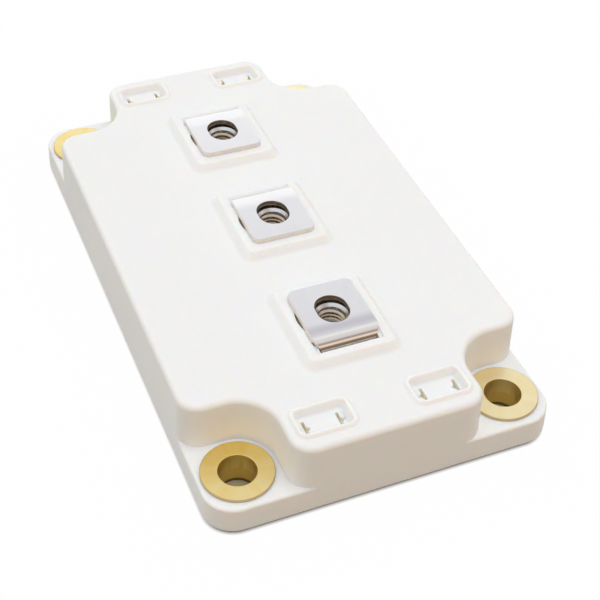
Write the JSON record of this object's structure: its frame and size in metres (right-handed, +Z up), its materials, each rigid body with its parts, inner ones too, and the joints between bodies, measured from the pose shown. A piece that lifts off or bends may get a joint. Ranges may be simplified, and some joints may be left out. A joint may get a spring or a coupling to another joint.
{
  "type": "power diode module",
  "caption": "Low-profile power diode module: off-white moulded housing with brass-bushed mounting ears, a row of bent screw terminals over captive nuts and a copper base plate.",
  "frame": {"origin": "centre of the base plate's underside, on the mounting plane", "axes": "+X along the module's length, towards the end with the reversed terminal; +Z up, away from the heat sink; +Y across"},
  "size_m": [0.108, 0.062, 0.017],
  "materials": {
    "housing_plastic": "satin off-white glass-filled moulding",
    "plate_copper": "flat rolled copper, lightly brushed",
    "seal_silicone": "matte cured adhesive",
    "gel_silicone": "clear soft gel",
    "bushing_brass": "turned, fine concentric marks",
    "terminal_tin": "bright tin plate on copper strip",
    "nut_steel": "zinc-plated steel",
    "board_ceramic": "fired white alumina",
    "board_copper": "bare copper foil",
    "solder": "dull solder",
    "chip_silicon": "metallised silicon die"
  },
  "bodies": {
    "root": {"housing": "housing_plastic", "base_plate": "plate_copper", "seal_bead": "seal_silicone", "gel_fill": "gel_silicone", "bushing_1": "bushing_brass", "bushing_2": "bushing_brass", "bushing_3": "bushing_brass", "bushing_4": "bushing_brass", "terminal_1": "terminal_tin", "terminal_2": "terminal_tin", "terminal_3": "terminal_tin", "terminal_nut_1": "nut_steel", "terminal_nut_2": "nut_steel", "terminal_nut_3": "nut_steel", "ceramic_board_1": "board_ceramic", "ceramic_board_2": "board_ceramic", "back_copper_1": "board_copper", "back_copper_2": "board_copper", "chip_field_1": "board_copper", "chip_field_2": "board_copper", "landing_field_1": "board_copper", "landing_field_2": "board_copper", "anode_clip_1": "board_copper", "anode_clip_2": "board_copper", "board_link_1": "board_copper", "board_link_2": "board_copper", "board_solder_1": "solder", "board_solder_2": "solder", "chip_solder_1_1": "solder", "chip_solder_1_2": "solder", "chip_solder_1_3": "solder", "chip_solder_1_4": "solder", "chip_solder_2_1": "solder", "chip_solder_2_2": "solder", "chip_solder_2_3": "solder", "chip_solder_2_4": "solder", "diode_chip_1_1": "chip_silicon", "diode_chip_1_2": "chip_silicon", "diode_chip_1_3": "chip_silicon", "diode_chip_1_4": "chip_silicon", "diode_chip_2_1": "chip_silicon", "diode_chip_2_2": "chip_silicon", "diode_chip_2_3": "chip_silicon", "diode_chip_2_4": "chip_silicon"}
  },
  "joints": []
}
